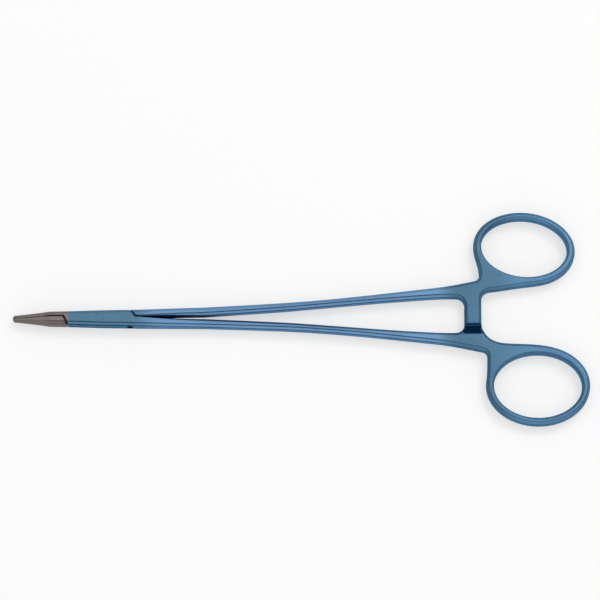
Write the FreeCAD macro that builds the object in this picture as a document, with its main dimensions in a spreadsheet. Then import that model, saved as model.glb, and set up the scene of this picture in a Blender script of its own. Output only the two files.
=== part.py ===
import FreeCAD, Part
import math
import os

from FreeCAD import Rotation, Vector

# Box-lock needle holder, jaws closed, in millimetres.
# X runs from the jaw tip (minus) to the finger rings (plus), Y across both handles, Z up.
# The origin is the pivot axis on the underside of the box.

SIZES = [
    # box of the lock
    ("box_thickness", 5.0, "box, underside to top face"),
    ("step_width", 3.94, "box width at its front end, behind the jaws"),
    ("box_front_width", 4.1, "box width at its front shoulder"),
    ("box_mid_width", 4.79, "box width at the pivot"),
    ("box_back_width", 5.2, "box width at its back end"),
    ("box_bevel", 0.75, "bevel along the box edges"),
    ("parting", 0.33, "line that parts the two halves at the box, across"),
    ("fit_gap", 0.06, "clearance between faces of the two halves that all but touch"),
    ("front_shoulder", 10.95, "pivot to the front shoulder, at mid width"),
    ("back_shoulder", 11.2, "pivot to the back shoulder, at mid width"),
    ("front_slant", 0.53, "lengthwise run of the front shoulder per unit of width"),
    ("back_slant", 0.8, "lengthwise run of the back shoulder per unit of width"),
    ("shoulder_gap", 0.48, "lengthwise gap beside a shoulder with the jaws closed"),
    ("slot_thickness", 2.5, "slot between the two cheeks"),
    ("slot_slant", 0.76, "lengthwise run of the slot ends per unit of width"),
    ("tongue_slant", 0.84, "lengthwise run of the tongue ends per unit of width"),
    ("tongue_play", 0.05, "clearance above and below the tongue"),
    ("tongue_end_play", 0.09, "clearance at the tongue ends"),
    ("eye_reach", 10.3, "pivot to the round slot ends seen in the box sides"),
    ("eye_depth", 0.8, "depth of the round slot ends"),
    ("pin_radius", 1.2, "pivot pin"),
    ("pin_play", 0.03, "radial running clearance of the pin in the tongue"),
    # jaws
    ("jaw_reach", 27.1, "pivot to jaw tip"),
    ("jaw_step", 15.6, "pivot to the step where the jaws reach the box width"),
    ("tip_width", 1.85, "both jaws together at the tip"),
    ("tip_thickness", 1.7, "jaw thickness at the tip"),
    ("waist_width", 3.3, "both jaws together where they swell towards the step"),
    ("waist_thickness", 4.0, "jaw thickness where they swell towards the step"),
    ("tip_round", 0.45, "rounding of the jaw tip"),
    ("grip_length", 9.6, "grooved length of each jaw"),
    ("jaw_relief", 0.2, "relief of the upper jaw behind its grip"),
    ("groove_pitch", 0.6, "pitch of the cross grooves on the gripping faces"),
    ("groove_depth", 0.12, "depth of the cross grooves"),
    # shanks
    ("shank_thickness", 3.8, "shank, web, bar and ring, underside to top face"),
    ("shank_bevel", 0.8, "bevel along the outer edges of a handle"),
    ("shank_gap", 0.36, "gap between the two shanks right behind the box"),
    ("taper_end", 32.8, "pivot to where a shank reaches its own thickness"),
    ("upper_taper_mid", 2.15, "upper shank centre at the taper end"),
    ("upper_near_mid", 3.91, "upper shank centre at a third of its length"),
    ("upper_far_mid", 6.29, "upper shank centre at two thirds of its length"),
    ("upper_bar_mid", 8.63, "upper shank centre where it meets its bar"),
    ("lower_taper_mid", -1.6, "lower shank centre at the taper end"),
    ("lower_near_mid", -2.67, "lower shank centre at a third of its length"),
    ("lower_far_mid", -4.57, "lower shank centre at two thirds of its length"),
    ("lower_bar_mid", -6.65, "lower shank centre where it meets its bar"),
    ("shank_start_width", 2.65, "shank width at the taper end"),
    ("shank_slim_width", 2.3, "shank width at mid length"),
    ("shank_end_width", 3.75, "shank width where it meets its bar"),
    # ratchet
    ("bar_front", 113.9, "pivot to the front edge of the ratchet bars"),
    ("bar_width", 5.3, "ratchet bar along the handle"),
    ("upper_bar_end", -2.5, "free end of the upper bar, across"),
    ("lower_bar_end", 3.6, "free end of the lower bar, across"),
    ("upper_root", 5.9, "where the upper bar reaches full thickness"),
    ("lower_root", -5.2, "where the lower bar reaches full thickness"),
    ("root_play", 0.7, "end of a bar to the foot of the ramp at the other bar's root"),
    ("rack_gap", 0.14, "gap between the two rows of teeth"),
    ("tooth_depth", 0.5, "ratchet tooth depth"),
    ("tooth_pitch", 1.1, "ratchet tooth pitch"),
    ("tooth_count", 4, "teeth on each bar"),
    ("bar_fillet", 3.2, "corner between a shank and the front of its bar"),
    ("upper_web_fillet", 3.0, "corner between the upper bar and its web"),
    ("lower_web_fillet", 7.0, "corner between the lower bar and its web"),
    ("recess_front", 0.35, "recess of a bar ahead of its front edge"),
    ("recess_back", 0.9, "recess of a bar behind its back edge"),
    # finger rings and webs
    ("band_width", 2.45, "ring band across, in plan"),
    ("ring_shift", 0.2, "finger hole off the middle of its ring, away from the other handle"),
    ("hole_bevel", 0.7, "bevel of a finger hole, full width across from the web"),
    ("hole_web_bevel", 0.35, "bevel of a finger hole beside the web"),
    ("upper_ring_along", 13.6, "back of the bars to the centre of the upper ring"),
    ("upper_ring_across", 22.8, "centre of the upper ring, across"),
    ("upper_hole_length", 27.0, "finger hole of the upper ring, lengthwise"),
    ("upper_hole_width", 18.7, "finger hole of the upper ring, across"),
    ("upper_ring_turn", -6.2, "turn of the upper ring in degrees"),
    ("lower_ring_along", 17.4, "back of the bars to the centre of the lower ring"),
    ("lower_ring_across", -21.8, "centre of the lower ring, across"),
    ("lower_hole_length", 27.45, "finger hole of the lower ring, lengthwise"),
    ("lower_hole_width", 20.65, "finger hole of the lower ring, across"),
    ("lower_ring_turn", -0.4, "turn of the lower ring in degrees"),
    ("upper_web_front", 1.75, "upper web front edge behind the front of its ring"),
    ("lower_web_front", 0.53, "lower web front edge behind the front of its ring"),
    ("upper_web_side", 8.65, "inner side of the upper web beside the bar, across"),
    ("lower_web_side", -7.35, "inner side of the lower web beside the bar, across"),
    ("upper_web_mid", 10.3, "inner side of the upper web halfway to its ring, across"),
    ("lower_web_mid", -8.52, "inner side of the lower web halfway to its ring, across"),
    ("web_slope", 0.2, "rise of the shank's outer side along the web"),
    ("web_corner", 1.6, "corner between a shank and its ring"),
]

# Stations along the jaws: share of the way from tip to step, share of the growth to the waist
JAW_STATIONS = ((0.45, 0.53), (0.76, 1.0))

# Stations along a shank: share of the way from taper end to bar, share of the growth in width
SHANK_STATIONS = ((0.33, 0.0), (0.64, 0.05), (0.83, 0.45), (0.945, 1.0))
THIRD_STATION_RISE = 0.645

# Middle of the taper behind the box: shares of the way, of the change in thickness and bevel,
# and of the shift of the outer and inner sides
TAPER_WAY = 0.46
TAPER_THINNING = 0.42
TAPER_BEVELLING = 0.5
TAPER_OUTER = 0.48
TAPER_INNER = 0.85

# Where the web's outline runs into the ring, in degrees round the ring from its front
WEB_MEETS_RING = (7, 124)
WEB_INNER_SLOPE = 0.1
NOTCH_SHARE = 0.92

doc = FreeCAD.newDocument("NeedleHolder")
sheet = doc.addObject("Spreadsheet::Sheet", "Sizes")
for row, (alias, value, note) in enumerate(SIZES, start=1):
    sheet.set("A%d" % row, note)
    sheet.set("B%d" % row, str(value))
    sheet.setAlias("B%d" % row, alias)
doc.recompute()


def size(alias):
    return float(getattr(sheet, alias))


def between(start, end, share):
    return start + (end - start) * share


middle = size("box_thickness") / 2
fit = size("fit_gap") / 2
bevel = size("shank_bevel")
bar_front = size("bar_front")
bar_back = bar_front + size("bar_width")
half_box = size("box_back_width") / 2


# Sections across the instrument and plan outlines

def section(x, low, high, thickness, low_bevel, high_bevel):
    """Closed eight-sided wire across the instrument at x, between two sides."""
    half = thickness / 2
    corners = [
        (high, half - high_bevel), (high - high_bevel, half),
        (low + low_bevel, half), (low, half - low_bevel),
        (low, low_bevel - half), (low + low_bevel, -half),
        (high - high_bevel, -half), (high, high_bevel - half),
    ]
    points = [Vector(x, y, middle + z) for y, z in corners]
    return Part.makePolygon(points + points[:1])


def plan_prism(points, bottom, top):
    """Upright prism over a straight-sided plan outline."""
    corners = [Vector(x, y, bottom) for x, y in points]
    face = Part.Face(Part.makePolygon(corners + corners[:1]))
    return face.extrude(Vector(0, 0, top - bottom))


def full_height(points):
    return plan_prism(points, -size("box_thickness"), 2 * size("box_thickness"))


def curve(points, start_way, end_way):
    """Smooth edge through points, leaving and arriving along given directions."""
    line = Part.BSplineCurve()
    line.interpolate(Points=points, InitialTangent=start_way, FinalTangent=end_way)
    return line.toShape()


def corner(start, apex, end):
    """Rounded corner that touches both sides of its apex."""
    bend = Part.BezierCurve()
    bend.setPoles([start, apex, end])
    return bend.toShape()


# Bar of the box and jaws, later parted into the two halves

box_end = size("back_shoulder") + size("slot_thickness") / 2


def box_and_jaws():
    tip = -size("jaw_reach")
    step = -size("jaw_step")
    share = size("box_bevel") / size("box_thickness")
    nose = size("tip_round")
    jaw_rows = [
        (tip, size("tip_width") - 2 * nose, size("tip_thickness") - 2 * nose),
        (tip + nose, size("tip_width"), size("tip_thickness")),
    ]
    for way, growth in JAW_STATIONS:
        jaw_rows.append((
            between(tip, step, way), between(size("tip_width"), size("waist_width"), growth),
            between(size("tip_thickness"), size("waist_thickness"), growth),
        ))
    jaw_rows.append((step, size("step_width"), size("box_thickness")))
    jaws = Part.makeLoft([
        section(x, -width / 2, width / 2, tall, tall * share, tall * share)
        for x, width, tall in jaw_rows
    ], True, True)
    box_rows = [
        (step, size("step_width")), (-size("front_shoulder"), size("box_front_width")),
        (0, size("box_mid_width")), (box_end, size("box_back_width")),
    ]
    box = Part.makeLoft([
        section(x, -width / 2, width / 2, size("box_thickness"), size("box_bevel"), size("box_bevel"))
        for x, width in box_rows
    ], True, True)
    return jaws.fuse(box)


# Plan of the box lock: the jaws part along their middle, and a shoulder slants across the box
# at each end of it. The male half passes through the slot as a tongue.

side = size("box_back_width")
beyond = 2 * size("jaw_reach")
tip_x = -size("jaw_reach")
grip_x = tip_x + size("grip_length")
shoulder_gap = size("shoulder_gap")
female_front = size("parting") + fit
female_relieved = female_front + size("jaw_relief")
male_front = size("parting") - fit
female_back = size("parting") - size("shank_gap") / 2
male_back = size("parting") + size("shank_gap") / 2


def front_x(y):
    return -size("front_shoulder") - size("front_slant") * y


def back_x(y):
    return size("back_shoulder") - size("back_slant") * y


slot_front = front_x(female_relieved)
slot_back = back_x(female_back)


def tongue_front_x(y):
    return slot_front + size("tongue_end_play") + size("tongue_slant") * (y - female_relieved)


def tongue_back_x(y):
    return slot_back - size("tongue_end_play") - size("tongue_slant") * (female_back - y)


female_plan = [
    (-beyond, fit), (tip_x, fit), (grip_x, female_front),
    (grip_x + size("jaw_relief"), female_relieved), (slot_front, female_relieved),
    (front_x(-side), -side), (beyond, -side), (beyond, female_back),
    (slot_back, female_back), (back_x(side), side), (-beyond, side),
]
male_front_plan = [
    (-beyond, -fit), (tip_x, -fit), (grip_x, male_front),
    (front_x(male_front) - shoulder_gap, male_front),
    (front_x(-side) - shoulder_gap, -side), (-beyond, -side),
]
male_back_plan = [
    (beyond, male_back), (back_x(male_back) + shoulder_gap, male_back),
    (back_x(side) + shoulder_gap, side), (beyond, side),
]
slot_plan = [
    (slot_front, female_relieved),
    (slot_front + size("slot_slant") * (side - female_relieved), side), (beyond, side),
    (slot_back, female_back),
    (slot_back - size("slot_slant") * (side + female_back), -side), (-beyond, -side),
]
tongue_plan = [
    (front_x(male_front) - 2 * shoulder_gap, male_front), (tongue_front_x(male_front), male_front),
    (tongue_front_x(side), side), (back_x(male_back) + 2 * shoulder_gap, side),
    (back_x(male_back) + 2 * shoulder_gap, male_back), (tongue_back_x(male_back), male_back),
    (tongue_back_x(-side), -side), (front_x(male_front) - 2 * shoulder_gap, -side),
]
slot_low = middle - size("slot_thickness") / 2
slot_high = middle + size("slot_thickness") / 2
play = size("tongue_play")


# Handles: shank, bar, web and ring in one plate

def ellipse(centre, length, width, turn):
    """Flat ellipse from its full length and width."""
    angle = math.radians(turn)
    along = Vector(math.cos(angle), math.sin(angle), 0)
    across = Vector(-math.sin(angle), math.cos(angle), 0)
    return Part.Ellipse(centre + along * (length / 2), centre + across * (width / 2), centre)


def ring_centre(name, z):
    return Vector(bar_back + size(name + "_ring_along"), size(name + "_ring_across"), z)


def shank_sides(name, way, z):
    """Outer and inner points along a shank, from the taper end to its bar."""
    slim = size("shank_slim_width") / 2
    wide = size("shank_end_width") / 2
    far = size(name + "_far_mid")
    last = size(name + "_bar_mid")
    mids = [size(name + "_near_mid"), far, between(far, last, THIRD_STATION_RISE), last]
    rows = [(size("taper_end"), size(name + "_taper_mid"), size("shank_start_width") / 2)]
    for (share, growth), mid in zip(SHANK_STATIONS, mids):
        rows.append((between(size("taper_end"), bar_front, share), mid, between(slim, wide, growth)))
    outer = [Vector(x, mid + way * half, z) for x, mid, half in rows]
    inner = [Vector(x, mid - way * half, z) for x, mid, half in rows]
    return outer, inner


def web_and_ring_edges(name, way, shank_end, z):
    """Outer outline from the shank round the ring and back to the bar."""
    band = 2 * size("band_width")
    length = size(name + "_hole_length")
    rim_centre = ring_centre(name, z) - Vector(0, way * size("ring_shift"), 0)
    rim = ellipse(rim_centre, length + band, size(name + "_hole_width") + band,
                  size(name + "_ring_turn"))
    front_turn, side_turn = [math.pi + way * math.radians(turn) for turn in WEB_MEETS_RING]
    rim_front = rim.value(front_turn)
    rim_side = rim.value(side_turn)
    if way > 0:
        rim_arc = Part.ArcOfEllipse(rim, side_turn - 2 * math.pi, front_turn)
    else:
        rim_arc = Part.ArcOfEllipse(rim, front_turn, side_turn + 2 * math.pi)

    shank_way = Vector(1, way * size("web_slope"), 0)
    web_x = rim.Center.x - (length + band) / 2 + size(name + "_web_front")
    apex = shank_end + shank_way * (web_x - shank_end.x)
    turn_in = apex - shank_way * size("web_corner")
    turn_out = apex + Vector(0, way * size("web_corner"), 0)

    fillet = size(name + "_web_fillet")
    bar_corner = Vector(bar_back, size(name + "_web_side"), z)
    web_in = bar_corner + Vector(fillet, way * fillet * WEB_INNER_SLOPE, 0)
    web_mid = Vector((web_in.x + rim_side.x) / 2, size(name + "_web_mid"), z)
    web_out = bar_corner - Vector(0, way * fillet, 0)
    return turn_in, shank_way, web_out, [
        corner(turn_in, apex, turn_out),
        curve([turn_out, rim_front], Vector(0, way, 0), rim.tangent(front_turn)[0] * -way),
        rim_arc.toShape(),
        curve([rim_side, web_mid, web_in], rim.tangent(side_turn)[0] * -way, bar_corner - web_in),
        corner(web_in, bar_corner, web_out),
    ]


def handle_plate(name, way):
    """Bevelled plate of one handle; way is +1 above mid width, -1 below."""
    floor = middle - size("shank_thickness") / 2
    outer, inner = shank_sides(name, way, floor)
    turn_in, shank_way, web_out, edges = web_and_ring_edges(name, way, outer[-1], floor)
    bar_end = size(name + "_bar_end")
    end_back = Vector(bar_back, bar_end, floor)
    end_front = Vector(bar_front, bar_end, floor)
    front_corner = Vector(bar_front, inner[-1].y, floor)
    front_in = front_corner - Vector(0, way * size("bar_fillet"), 0)
    front_out = front_corner - Vector(size("bar_fillet"), 0, 0)
    edges += [
        curve(outer + [turn_in], outer[1] - outer[0], shank_way),
        Part.makeLine(web_out, end_back),
        Part.makeLine(end_back, end_front),
        Part.makeLine(end_front, front_in),
        corner(front_in, front_corner, front_out),
        curve([front_out] + inner[::-1], Vector(-1, 0, 0), inner[0] - inner[1]),
        Part.makeLine(inner[0], outer[0]),
    ]
    outline = Part.Wire(Part.sortEdges(edges)[0])
    plate = Part.Face(outline).extrude(Vector(0, 0, size("shank_thickness")))
    rims = [
        edge for edge in plate.Edges
        if edge.BoundBox.ZLength < fit and edge.BoundBox.XMax > size("taper_end") + bevel
    ]
    return plate.makeChamfer(bevel, rims)


def finger_hole(name):
    """Cutter for a finger hole, flared at both faces and least beside the web."""
    near = size("hole_web_bevel")
    far = size("hole_bevel")
    half = size("shank_thickness") / 2
    length = size(name + "_hole_length")
    width = size(name + "_hole_width")
    turn = size(name + "_ring_turn")
    centre = ring_centre(name, middle)
    bar_middle = Vector((bar_front + bar_back) / 2, 0, middle)
    away = (centre - bar_middle).normalize() * (far - near)
    flare = 2 * (far + near)
    rings = []
    for height, share in ((-half - far, 1), (far - half, 0), (half - far, 0), (half + far, 1)):
        spot = centre + away * share + Vector(0, 0, height)
        rim = ellipse(spot, length + flare * share, width + flare * share, turn)
        rings.append(Part.Wire([rim.toShape()]))
    return Part.makeLoft(rings, True, True)


def shank_taper(plate, start_low, start_high, name, way):
    """Shank between the box and the plate, thinning from one to the other."""
    taper = size("taper_end")
    ends = [v.Point for v in plate.Vertexes if abs(v.X - taper) < fit]
    mid_y = size(name + "_taper_mid")
    ends.sort(key=lambda p: math.atan2(p.z - middle, p.y - mid_y) % (2 * math.pi))
    plate_end = Part.makePolygon(ends + ends[:1])
    half = size("shank_start_width") / 2
    if way > 0:
        low = between(start_low, mid_y - half, TAPER_INNER)
        high = between(start_high, mid_y + half, TAPER_OUTER)
    else:
        low = between(start_low, mid_y - half, TAPER_OUTER)
        high = between(start_high, mid_y + half, TAPER_INNER)
    mid_tall = between(size("box_thickness"), size("shank_thickness"), TAPER_THINNING)
    rows = [
        (box_end, start_low, start_high, size("box_thickness"), fit),
        (between(box_end, taper, TAPER_WAY), low, high, mid_tall, between(fit, bevel, TAPER_BEVELLING)),
    ]
    outer_bevel = size("box_bevel")
    wires = []
    for x, low, high, tall, inner_bevel in rows:
        bevels = (inner_bevel, outer_bevel) if way > 0 else (outer_bevel, inner_bevel)
        wires.append(section(x, low, high, tall, *bevels))
    return Part.makeLoft(wires + [plate_end], True, False)


def handle_blank(name, way, start_low, start_high):
    """One handle, from behind the box to its finger ring."""
    plate = handle_plate(name, way)
    shank = shank_taper(plate, start_low, start_high, name, way)
    return shank.fuse(plate.cut(finger_hole(name)))


# Objects of the document

def solid_of(shape, name):
    """The one valid solid of a shape."""
    if shape.isNull() or not shape.isValid() or len(shape.Solids) != 1:
        raise RuntimeError("%s is not one valid solid (%d)" % (name, len(shape.Solids)))
    return shape.Solids[0]


def place(name, shape):
    """A shaped piece as its own object."""
    item = doc.addObject("Part::Feature", name)
    item.Label = name
    item.Shape = shape
    item.Placement = FreeCAD.Placement()
    return item


def primitive(kind, name, formulas, turn=0):
    """A Part primitive whose sizes and place follow the sheet; turn is about X, in degrees."""
    item = doc.addObject("Part::" + kind, name)
    item.Label = name
    item.Placement = FreeCAD.Placement(Vector(), Rotation(Vector(1, 0, 0), turn))
    for path, formula in formulas.items():
        item.setExpression(path, formula)
    return item


def machined(name, forging, cutters):
    """A forging with all its bores, slots and teeth cut at once."""
    tools = doc.addObject("Part::MultiFuse", name + "_machining")
    tools.Label = name + "_machining"
    tools.Shapes = cutters
    item = doc.addObject("Part::Cut", name)
    item.Label = name
    item.Base = forging
    item.Tool = tools
    return item


def root_ramp(name, formulas):
    """Cutter for the slope from a handle's face down to its teeth; heights are from mid height."""
    along = {
        "Xmax": "Sizes.bar_width + Sizes.recess_front + Sizes.recess_back",
        "X2max": "Sizes.bar_width + Sizes.recess_front + Sizes.recess_back",
        "Placement.Base.x": "Sizes.bar_front - Sizes.recess_front",
        "Placement.Base.z": "Sizes.box_thickness / 2",
    }
    ramp = primitive("Wedge", name, dict(along, **formulas))
    ramp.Xmin = ramp.X2min = 0
    return ramp


def ratchet_notches(name, first, step, level, depth):
    """Row of saw-tooth notches along a bar; the steep side is where each notch starts."""
    notches = []
    front = bar_front - bevel
    for index in range(int(round(size("tooth_count")))):
        start = first + index * step
        corners = [
            Vector(front, start, level), Vector(front, start, level + depth),
            Vector(front, start + step * NOTCH_SHARE, level),
        ]
        face = Part.Face(Part.makePolygon(corners + corners[:1]))
        notches.append(face.extrude(Vector(size("bar_width") + 2 * bevel, 0, 0)))
    return place(name, Part.makeCompound(notches))


def jaw_grooves(name, way):
    """Cross grooves over the gripping face of one jaw."""
    grooves = []
    pitch = size("groove_pitch")
    depth = size("groove_depth")
    for index in range(int((size("grip_length") - size("tip_round")) / pitch)):
        x = tip_x + size("tip_round") + pitch * (index + 0.5)
        face_y = size("parting") * (x - tip_x) / size("grip_length") + way * fit
        corners = [
            Vector(x - depth, face_y - way * fit, 0), Vector(x + depth, face_y - way * fit, 0),
            Vector(x, face_y + way * depth, 0),
        ]
        face = Part.Face(Part.makePolygon(corners + corners[:1]))
        grooves.append(face.extrude(Vector(0, 0, size("box_thickness"))))
    return place(name, Part.makeCompound(grooves))


rack = size("rack_gap") / 2
blank = box_and_jaws()

# Female half: slotted box, upper jaw, lower shank and ring, with the lower ratchet bar
cheeks = blank.common(full_height(female_plan)).cut(plan_prism(slot_plan, slot_low, slot_high))
female_forging = place(
    "female_forging", cheeks.fuse(handle_blank("lower", -1, -half_box, female_back)))
eye = {
    "Radius": "Sizes.slot_thickness / 2",
    "Height": "Sizes.box_back_width",
    "Placement.Base.z": "Sizes.box_thickness / 2",
}
female_half = machined("female_half", female_forging, [
    primitive("Cylinder", "female_bore", {
        "Radius": "Sizes.pin_radius",
        "Height": "Sizes.box_thickness",
    }),
    primitive("Cylinder", "back_eye", dict(eye, **{
        "Placement.Base.x": "Sizes.eye_reach - Sizes.slot_thickness / 2",
        "Placement.Base.y": "Sizes.eye_depth - Sizes.box_back_width / 2",
    }), turn=90),
    primitive("Cylinder", "front_eye", dict(eye, **{
        "Placement.Base.x": "Sizes.slot_thickness / 2 - Sizes.eye_reach",
        "Placement.Base.y": "Sizes.box_front_width / 2 - Sizes.eye_depth",
    }), turn=-90),
    primitive("Box", "lower_recess", {
        "Length": "Sizes.bar_width + Sizes.recess_front + Sizes.recess_back",
        "Width": "Sizes.lower_bar_end - Sizes.upper_bar_end + Sizes.root_play + Sizes.shank_bevel",
        "Height": "Sizes.shank_thickness",
        "Placement.Base.x": "Sizes.bar_front - Sizes.recess_front",
        "Placement.Base.y": "Sizes.upper_bar_end - Sizes.root_play",
        "Placement.Base.z": "(Sizes.box_thickness - Sizes.rack_gap) / 2",
    }),
    root_ramp("lower_root_ramp", {
        "Zmin": "Sizes.shank_thickness / 2",
        "Zmax": "Sizes.shank_thickness",
        "Z2min": "-Sizes.rack_gap / 2",
        "Z2max": "Sizes.shank_thickness",
        "Ymin": "Sizes.lower_root",
        "Ymax": "Sizes.upper_bar_end - Sizes.root_play",
    }),
    ratchet_notches("lower_notches", size("lower_bar_end") - bevel, -size("tooth_pitch"),
                    middle - rack, -size("tooth_depth")),
    jaw_grooves("upper_jaw_grooves", 1),
])

# Male half: lower jaw, tongue, upper shank and ring, with the upper ratchet bar
tongue = plan_prism(tongue_plan, slot_low + play, slot_high - play)
core = blank.common(full_height(male_front_plan).fuse([full_height(male_back_plan), tongue]))
male_forging = place("male_forging", core.fuse(handle_blank("upper", 1, male_back, half_box)))
male_half = machined("male_half", male_forging, [
    primitive("Cylinder", "male_bore", {
        "Radius": "Sizes.pin_radius + Sizes.pin_play",
        "Height": "Sizes.box_thickness",
    }),
    primitive("Box", "upper_recess", {
        "Length": "Sizes.bar_width + Sizes.recess_front + Sizes.recess_back",
        "Width": "Sizes.lower_bar_end - Sizes.upper_bar_end + Sizes.root_play + Sizes.shank_bevel",
        "Height": "Sizes.shank_thickness",
        "Placement.Base.x": "Sizes.bar_front - Sizes.recess_front",
        "Placement.Base.y": "Sizes.upper_bar_end - Sizes.shank_bevel",
        "Placement.Base.z": "(Sizes.box_thickness + Sizes.rack_gap) / 2 - Sizes.shank_thickness",
    }),
    root_ramp("upper_root_ramp", {
        "Zmin": "-Sizes.shank_thickness",
        "Zmax": "Sizes.rack_gap / 2",
        "Z2min": "-Sizes.shank_thickness",
        "Z2max": "-Sizes.shank_thickness / 2",
        "Ymin": "Sizes.lower_bar_end + Sizes.root_play",
        "Ymax": "Sizes.upper_root",
    }),
    ratchet_notches("upper_notches", size("upper_bar_end") + bevel, size("tooth_pitch"),
                    middle + rack, size("tooth_depth")),
    jaw_grooves("lower_jaw_grooves", -1),
])

# Pivot pin, ground flush with both cheeks
pivot_pin = primitive("Cylinder", "pivot_pin", {
    "Radius": "Sizes.pin_radius",
    "Height": "Sizes.box_thickness",
})

doc.recompute()
for item in doc.Objects:
    if "Invalid" in item.State or "Error" in item.State:
        raise RuntimeError(item.Label + " failed to build")
    if hasattr(item, "Shape") and (item.Shape.isNull() or not item.Shape.isValid()):
        raise RuntimeError(item.Label + " has no valid shape")

os.makedirs("parts", exist_ok=True)
for node in (female_half, male_half, pivot_pin):
    solid = solid_of(node.Shape, node.Label)
    solid.exportStep(os.path.join("parts", node.Label + ".step"))
    print(node.Label, round(solid.Volume, 1), len(solid.Faces))
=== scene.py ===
import math

import bpy
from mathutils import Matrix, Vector

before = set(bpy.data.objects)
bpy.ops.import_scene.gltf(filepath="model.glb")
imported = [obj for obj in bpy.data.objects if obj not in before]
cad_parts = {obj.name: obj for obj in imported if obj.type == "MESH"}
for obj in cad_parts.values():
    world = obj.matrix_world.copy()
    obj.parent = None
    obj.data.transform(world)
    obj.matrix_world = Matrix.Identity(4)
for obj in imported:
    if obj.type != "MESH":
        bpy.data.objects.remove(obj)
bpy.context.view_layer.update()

MM = 0.001
WHITE = (1.0, 1.0, 1.0, 1.0)


# Small helpers for node trees

def new_material(name):
    material = bpy.data.materials.new(name)
    material.use_nodes = True
    tree = material.node_tree
    tree.nodes.clear()
    return material, tree


def node(tree, kind, **values):
    made = tree.nodes.new(kind)
    for key, value in values.items():
        setattr(made, key, value)
    return made


def put(tree, socket, value):
    """Sets a socket to a value or joins it to another socket."""
    if isinstance(value, bpy.types.NodeSocket):
        tree.links.new(value, socket)
    else:
        socket.default_value = value


def join_output(tree, kind, shader):
    """Joins a shader to the output of its tree."""
    put(tree, node(tree, kind).inputs["Surface"], shader)


def calc(tree, operation, first, second):
    made = node(tree, "ShaderNodeMath", operation=operation)
    put(tree, made.inputs[0], first)
    put(tree, made.inputs[1], second)
    return made.outputs[0]


def times(tree, *factors):
    product = factors[0]
    for factor in factors[1:]:
        product = calc(tree, "MULTIPLY", product, factor)
    return product


def ramp(tree, value, low, high, to_low=0.0, to_high=1.0):
    """Smooth step from one value to another."""
    made = node(tree, "ShaderNodeMapRange", interpolation_type="SMOOTHSTEP", clamp=True)
    for index, item in enumerate((value, low, high, to_low, to_high)):
        put(tree, made.inputs[index], item)
    return made.outputs[0]


def noise(tree, vector, scale, detail):
    made = node(tree, "ShaderNodeTexNoise")
    put(tree, made.inputs["Vector"], vector)
    put(tree, made.inputs["Scale"], scale)
    put(tree, made.inputs["Detail"], detail)
    return made.outputs["Fac"]


def mix_colour(tree, factor, first, second):
    """Mix node for colours: its sockets 6 and 7 take them, and output 2 is the mix."""
    made = node(tree, "ShaderNodeMix", data_type="RGBA")
    put(tree, made.inputs[0], factor)
    put(tree, made.inputs[6], first)
    put(tree, made.inputs[7], second)
    return made.outputs[2]


def split(tree, vector):
    made = node(tree, "ShaderNodeSeparateXYZ")
    put(tree, made.inputs[0], vector)
    return made.outputs


def scaled(tree, vector, factor):
    made = node(tree, "ShaderNodeVectorMath", operation="SCALE")
    put(tree, made.inputs[0], vector)
    put(tree, made.inputs["Scale"], factor)
    return made.outputs[0]


def stretched(tree, vector, stretch):
    """Vector with each axis scaled on its own, so that a noise becomes streaks."""
    made = node(tree, "ShaderNodeVectorMath", operation="MULTIPLY")
    put(tree, made.inputs[0], vector)
    put(tree, made.inputs[1], stretch)
    return made.outputs[0]


# Anodised metal. Places are in metres in the frame of the part: +X runs from the
# pivot to the rings, +Y to the upper ring, +Z up.

# Blue of the box, the shanks, the webs and the rings, and where one turns into the next
BOX_BLUE = (0.096, 0.203, 0.306, 1.0)
SHANK_BLUE = (0.150, 0.282, 0.462, 1.0)
WEB_BLUE = (0.076, 0.163, 0.252, 1.0)
RING_BLUE = (0.094, 0.205, 0.335, 1.0)
SHANK_START = (10.0 * MM, 20.0 * MM)
SHANK_END = (104.0 * MM, 112.0 * MM)
RING_START = (122.0 * MM, 132.0 * MM)

# Bare jaws: their colour, where the blue ends, and how far that edge wanders
BARE = (0.222, 0.193, 0.183)
BARE_END = -9.6 * MM
BARE_SOFT = 0.5 * MM
WANDER_SCALE = 700.0
WANDER = 0.9 * MM
# Painted shade on the bare jaws: facets that don't face up or down are darker
BEVEL_SHADE_TURN = (0.70, 0.98)
BEVEL_SHADE_RANGE = (0.82, 1.0)

# Finish: slow drift of the tone, streaks from brushing, and grain
NOISE_BAND = (0.3, 0.7)
NOISE_MIDDLE = 0.5
DRIFT_SCALE = 70.0
DRIFT_TONE = (0.95, 1.05)
BRUSH_STRETCH = (90.0, 4200.0, 4200.0)
GRAIN_SCALE = 6500.0
FINE_TONE = (-0.03, 0.03)
GRAIN_IN_BUMP = 0.5
BUMP_STRENGTH = 0.05
BUMP_DEPTH = 0.03 * MM
ROUGHNESS = (0.30, 0.37)
BARE_ROUGHER = 0.10
HIDDEN_ROUGHER = 0.3

# Reflection at grazing angles
RIM_BLUE = (0.40, 0.60, 0.82, 1.0)
RIM_BARE = (0.80, 0.78, 0.77, 1.0)
# Grazing reflection darkened where the shade is painted
RIM_IN_SHADE = (0.02, 0.05, 0.10, 1.0)

# Rounding of the shading over edges, on the shanks and on the rings
SOFT_RADIUS = 0.16 * MM
RING_SOFT_RADIUS = 0.50 * MM
SOFT_SAMPLES = 8

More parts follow.
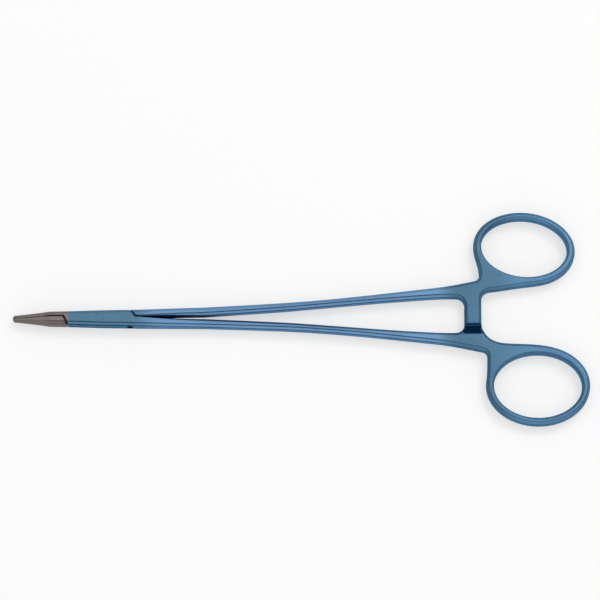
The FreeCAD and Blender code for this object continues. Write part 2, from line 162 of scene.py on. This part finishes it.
# Painted shade along the edges: dark lines that stand in for the dark reflection in their
# rounding,
# and where they are fainter: on the rings, on edges that face +Y, towards the tip of the jaws
# and round the pin
EDGE_SHADE_BLUE = (0.004, 0.020, 0.062, 1.0)
EDGE_SHADE_BARE = (0.050, 0.040, 0.038, 1.0)
LINE_RADIUS = 0.58 * MM
LINE_TURN = (0.988, 0.9992)
LINES = 0.95
RING_LINES = 0.42
BACK_TURN = (0.05, 0.20)
BACK_LINES = 0.2
TIP_FADE = (-18.0 * MM, -14.5 * MM)
TIP_LINES = 0.45
PIN_RIM = (1.45 * MM, 1.60 * MM)
PIN_LINES = 0.12

# Painted shade: the narrow gaps and the ratchet from the root of the lower bar to the end of
# the upper one get a dark colour, with a painted glint along that end
PAINTED_SHADE_BLUE = (0.006, 0.042, 0.115, 1.0)
NOOK_REACH = 2.8 * MM
NOOK_SAMPLES = 12
NOOK_SHADE = (0.22, 0.55)
MASK_SOFT = 0.12 * MM
ROOT_ALONG = (113.95 * MM, 119.15 * MM)
ROOT_ACROSS = (-5.25 * MM, -1.72 * MM)
ROOT_TOP = 4.42 * MM
GLINT_BLUE = (0.07, 0.18, 0.36, 1.0)
GLINT_ACROSS = (-2.70 * MM, -2.25 * MM)
GLINT_HEIGHT = (3.20 * MM, 3.80 * MM)


def soft_normal(tree, radius):
    """Normal rounded over the edges between facets."""
    made = node(tree, "ShaderNodeBevel", samples=SOFT_SAMPLES)
    put(tree, made.inputs["Radius"], radius)
    return made.outputs[0]


def painted_edge_shade(tree, past_shanks):
    """Painted edge shade: 1 along the edges between facets, 0 on the facets; less on +Y edges
    before the webs.
    """
    soft = soft_normal(tree, LINE_RADIUS)
    facing = node(tree, "ShaderNodeVectorMath", operation="DOT_PRODUCT")
    put(tree, facing.inputs[0], soft)
    put(tree, facing.inputs[1], node(tree, "ShaderNodeNewGeometry").outputs["Normal"])
    edge_shade = ramp(tree, facing.outputs["Value"], *LINE_TURN, 1.0, 0.0)
    local = node(tree, "ShaderNodeVectorTransform", vector_type="NORMAL",
                 convert_from="WORLD", convert_to="OBJECT")
    put(tree, local.inputs[0], soft)
    fainter = ramp(tree, split(tree, local.outputs[0])[1], *BACK_TURN, 1.0, BACK_LINES)
    return times(tree, edge_shade, calc(tree, "MAXIMUM", fainter, past_shanks))


# Strength of the painted edge shade: fainter round the pin, on the rings and towards the tip
# of the jaws
def edge_shade_strength(tree, place, along):
    from_pin = node(tree, "ShaderNodeVectorMath", operation="LENGTH")
    put(tree, from_pin.inputs[0], stretched(tree, place, (1.0, 1.0, 0.0)))
    return times(
        tree,
        ramp(tree, from_pin.outputs["Value"], *PIN_RIM, PIN_LINES, 1.0),
        ramp(tree, along, *SHANK_END, LINES, RING_LINES),
        ramp(tree, along, *TIP_FADE, TIP_LINES, 1.0),
    )


def crevice_shade(tree):
    """Painted shade from ambient occlusion: 0 on open faces, rising to 1 in the narrow gaps
    between the halves.
    """
    shade = node(tree, "ShaderNodeAmbientOcclusion", samples=NOOK_SAMPLES)
    shade.inputs["Distance"].default_value = NOOK_REACH
    return ramp(tree, shade.outputs["AO"], *NOOK_SHADE, 1.0, 0.0)


def below(tree, value, top):
    return ramp(tree, value, top - MASK_SOFT, top, 1.0, 0.0)


def within(tree, value, low, high):
    return times(tree, ramp(tree, value, low, low + MASK_SOFT), below(tree, value, high))


def bare_mask(tree, place, along):
    """1 on the jaws, 0 on the box, with an edge that wanders a little."""
    stray = calc(tree, "SUBTRACT", noise(tree, place, WANDER_SCALE, detail=3.0), NOISE_MIDDLE)
    edge = calc(tree, "ADD", along, times(tree, stray, WANDER))
    return ramp(tree, edge, BARE_END - BARE_SOFT, BARE_END + BARE_SOFT, 1.0, 0.0)


def anodised(name, has_jaws):
    """Blue metal, lighter along the shanks and deepest on the webs; bare on the jaws; with
    painted shade on the jaw facets, along the edges, in the gaps and in the ratchet, and a
    painted glint.
    """
    material, tree = new_material(name)
    place = node(tree, "ShaderNodeTexCoord").outputs["Object"]
    along, across, height = split(tree, place)
    past_shanks = ramp(tree, along, *SHANK_END)

    drift = noise(tree, place, DRIFT_SCALE, detail=3.0)
    brushed = noise(tree, stretched(tree, place, BRUSH_STRETCH), 1.0, detail=2.0)
    grain = noise(tree, place, GRAIN_SCALE, detail=2.0)

    colour = mix_colour(tree, ramp(tree, along, *SHANK_START), BOX_BLUE, SHANK_BLUE)
    colour = mix_colour(tree, past_shanks, colour, WEB_BLUE)
    colour = mix_colour(tree, ramp(tree, along, *RING_START), colour, RING_BLUE)
    # Colour of the painted edge shade
    edge_shade_colour = EDGE_SHADE_BLUE
    rim = RIM_BLUE
    roughness = ramp(tree, grain, *NOISE_BAND, *ROUGHNESS)
    if has_jaws:
        bare = bare_mask(tree, place, along)
        # Painted shade: bare facets that face sideways get a darker colour than the flats
        up = split(tree, node(tree, "ShaderNodeTexCoord").outputs["Normal"])[2]
        bevel_shade = ramp(tree, calc(tree, "ABSOLUTE", up, 0.0), *BEVEL_SHADE_TURN, *BEVEL_SHADE_RANGE)
        colour = mix_colour(tree, bare, colour, scaled(tree, BARE, bevel_shade))
        edge_shade_colour = mix_colour(tree, bare, EDGE_SHADE_BLUE, EDGE_SHADE_BARE)
        rim = mix_colour(tree, bare, RIM_BLUE, RIM_BARE)
        roughness = calc(tree, "ADD", roughness, times(tree, bare, BARE_ROUGHER))

    tone = ramp(tree, drift, *NOISE_BAND, *DRIFT_TONE)
    for fine in (brushed, grain):
        tone = calc(tree, "ADD", tone, ramp(tree, fine, *NOISE_BAND, *FINE_TONE))
    # Painted edge shade mixed into the colour
    edge_shade = times(tree, painted_edge_shade(tree, past_shanks), edge_shade_strength(tree, place, along))
    colour = mix_colour(tree, edge_shade, scaled(tree, colour, tone), edge_shade_colour)

    # Painted shade in the ratchet pit and the gaps, and a painted glint on the end of the
    # upper bar
    on_ratchet = within(tree, along, *ROOT_ALONG)
    root_shade = times(tree, on_ratchet, within(tree, across, *ROOT_ACROSS),
                 below(tree, height, ROOT_TOP))
    glint = times(tree, on_ratchet, within(tree, across, *GLINT_ACROSS),
                  within(tree, height, *GLINT_HEIGHT))
    painted_shade = calc(tree, "MAXIMUM", crevice_shade(tree), root_shade)
    colour = mix_colour(tree, painted_shade, colour, PAINTED_SHADE_BLUE)

    bump = node(tree, "ShaderNodeBump")
    bump.inputs["Strength"].default_value = BUMP_STRENGTH
    bump.inputs["Distance"].default_value = BUMP_DEPTH
    relief = calc(tree, "ADD", brushed, times(tree, grain, GRAIN_IN_BUMP))
    put(tree, bump.inputs["Height"], relief)
    rounding = ramp(tree, along, *SHANK_END, SOFT_RADIUS, RING_SOFT_RADIUS)
    put(tree, bump.inputs["Normal"], soft_normal(tree, rounding))

    metal = node(tree, "ShaderNodeBsdfPrincipled")
    metal.inputs["Metallic"].default_value = 1.0
    # The painted glint goes into the base colour; the painted shade also darkens the grazing
    # reflection and roughens the metal
    put(tree, metal.inputs["Base Color"], mix_colour(tree, glint, colour, GLINT_BLUE))
    put(tree, metal.inputs["Specular Tint"], mix_colour(tree, painted_shade, rim, RIM_IN_SHADE))
    rougher = times(tree, painted_shade, HIDDEN_ROUGHER)
    put(tree, metal.inputs["Roughness"], calc(tree, "ADD", roughness, rougher))
    put(tree, metal.inputs["Normal"], bump.outputs[0])
    join_output(tree, "ShaderNodeOutputMaterial", metal.outputs[0])
    return material


def dress(name, material):
    """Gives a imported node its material."""
    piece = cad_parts[name]
    piece.data.materials.clear()
    piece.data.materials.append(material)


half_metal = anodised("anodised_half", True)
dress("female_half", half_metal)
dress("male_half", half_metal)
dress("pivot_pin", anodised("anodised_pin", False))


# Stage: white floor that catches a faint shadow, just under the flat underside

FLOOR_CENTRE = (0.06, 0.0, -0.02 * MM)
FLOOR_SIDE = 6.0
FLOOR_GREY = 0.86
SEEN_GREY = 0.40
SEEN_GLOW = (1.0, 0.996, 0.992, 1.0)
SEEN_STRENGTH = 0.545


def diffuse(tree, grey):
    shader = node(tree, "ShaderNodeBsdfDiffuse")
    shader.inputs["Color"].default_value = (grey, grey, grey, 1.0)
    return shader.outputs[0]


def floor_material():
    """Plain grey for bounced light; partly self-lit where the camera or the metal sees it."""
    material, tree = new_material("white_floor")
    rays = node(tree, "ShaderNodeLightPath")
    seen = calc(tree, "MAXIMUM", rays.outputs["Is Camera Ray"], rays.outputs["Is Glossy Ray"])
    glow = node(tree, "ShaderNodeEmission")
    glow.inputs["Color"].default_value = SEEN_GLOW
    glow.inputs["Strength"].default_value = SEEN_STRENGTH
    lit = node(tree, "ShaderNodeAddShader")
    put(tree, lit.inputs[0], diffuse(tree, SEEN_GREY))
    put(tree, lit.inputs[1], glow.outputs[0])
    both = node(tree, "ShaderNodeMixShader")
    put(tree, both.inputs[0], seen)
    put(tree, both.inputs[1], diffuse(tree, FLOOR_GREY))
    put(tree, both.inputs[2], lit.outputs[0])
    join_output(tree, "ShaderNodeOutputMaterial", both.outputs[0])
    return material


def plane(name, centre, side, material):
    mesh = bpy.data.meshes.new(name)
    half = side / 2
    corners = [(centre[0] + x * half, centre[1] + y * half, centre[2])
               for x, y in ((-1, -1), (1, -1), (1, 1), (-1, 1))]
    mesh.from_pydata(corners, [], [(0, 1, 2, 3)])
    mesh.materials.append(material)
    made = bpy.data.objects.new(name, mesh)
    bpy.context.scene.collection.objects.link(made)
    return made


plane("floor", FLOOR_CENTRE, FLOOR_SIDE, floor_material())


# Light: a white tent, brighter overhead and in front, and a soft box from the upper right

HORIZON = 0.60
ZENITH = 0.92
FRONT = 0.46
FRONT_TURN = (0.4, 0.95)
KEY_SPOT = (0.65, 0.72, 1.15)
KEY_SIDE = 0.6
KEY_POWER = 6.0
AIM = (0.0626, 0.006, 0.0)


def world_light():
    world = bpy.data.worlds.new("studio")
    bpy.context.scene.world = world
    world.use_nodes = True
    tree = world.node_tree
    tree.nodes.clear()
    _, back_way, up_way = split(tree, node(tree, "ShaderNodeTexCoord").outputs["Generated"])
    height = ramp(tree, up_way, 0.0, 1.0, HORIZON, ZENITH)
    front = ramp(tree, times(tree, back_way, -1.0), *FRONT_TURN, 0.0, FRONT)
    back = node(tree, "ShaderNodeBackground")
    back.inputs["Color"].default_value = WHITE
    put(tree, back.inputs["Strength"], calc(tree, "ADD", height, front))
    join_output(tree, "ShaderNodeOutputWorld", back.outputs[0])


def soft_box(name, spot, target, side, power):
    lamp = bpy.data.lights.new(name, "AREA")
    lamp.shape = "SQUARE"
    lamp.size = side
    lamp.energy = power
    made = bpy.data.objects.new(name, lamp)
    made.location = spot
    aim = Vector(target) - Vector(spot)
    made.rotation_euler = aim.to_track_quat("-Z", "Y").to_euler()
    bpy.context.scene.collection.objects.link(made)


world_light()
soft_box("key", KEY_SPOT, AIM, KEY_SIDE, KEY_POWER)


# Camera: from above, tilted towards the lower shank, with the width it frames at the object

TILT = math.radians(16.0)
DISTANCE = 1.4
FRAME_WIDTH = 187.7 * MM
CENTRE = Vector((62.56 * MM, 6.25 * MM, 2.5 * MM))
SENSOR = 36.0


def camera():
    data = bpy.data.cameras.new("camera")
    data.sensor_width = SENSOR
    data.lens = SENSOR * DISTANCE / FRAME_WIDTH
    data.clip_start = 0.05
    data.clip_end = 20.0
    made = bpy.data.objects.new("camera", data)
    made.location = CENTRE + Vector((0.0, -math.sin(TILT), math.cos(TILT))) * DISTANCE
    made.rotation_euler = (TILT, 0.0, 0.0)
    bpy.context.scene.collection.objects.link(made)
    bpy.context.scene.camera = made


camera()
bpy.context.scene.view_settings.view_transform = "Standard"
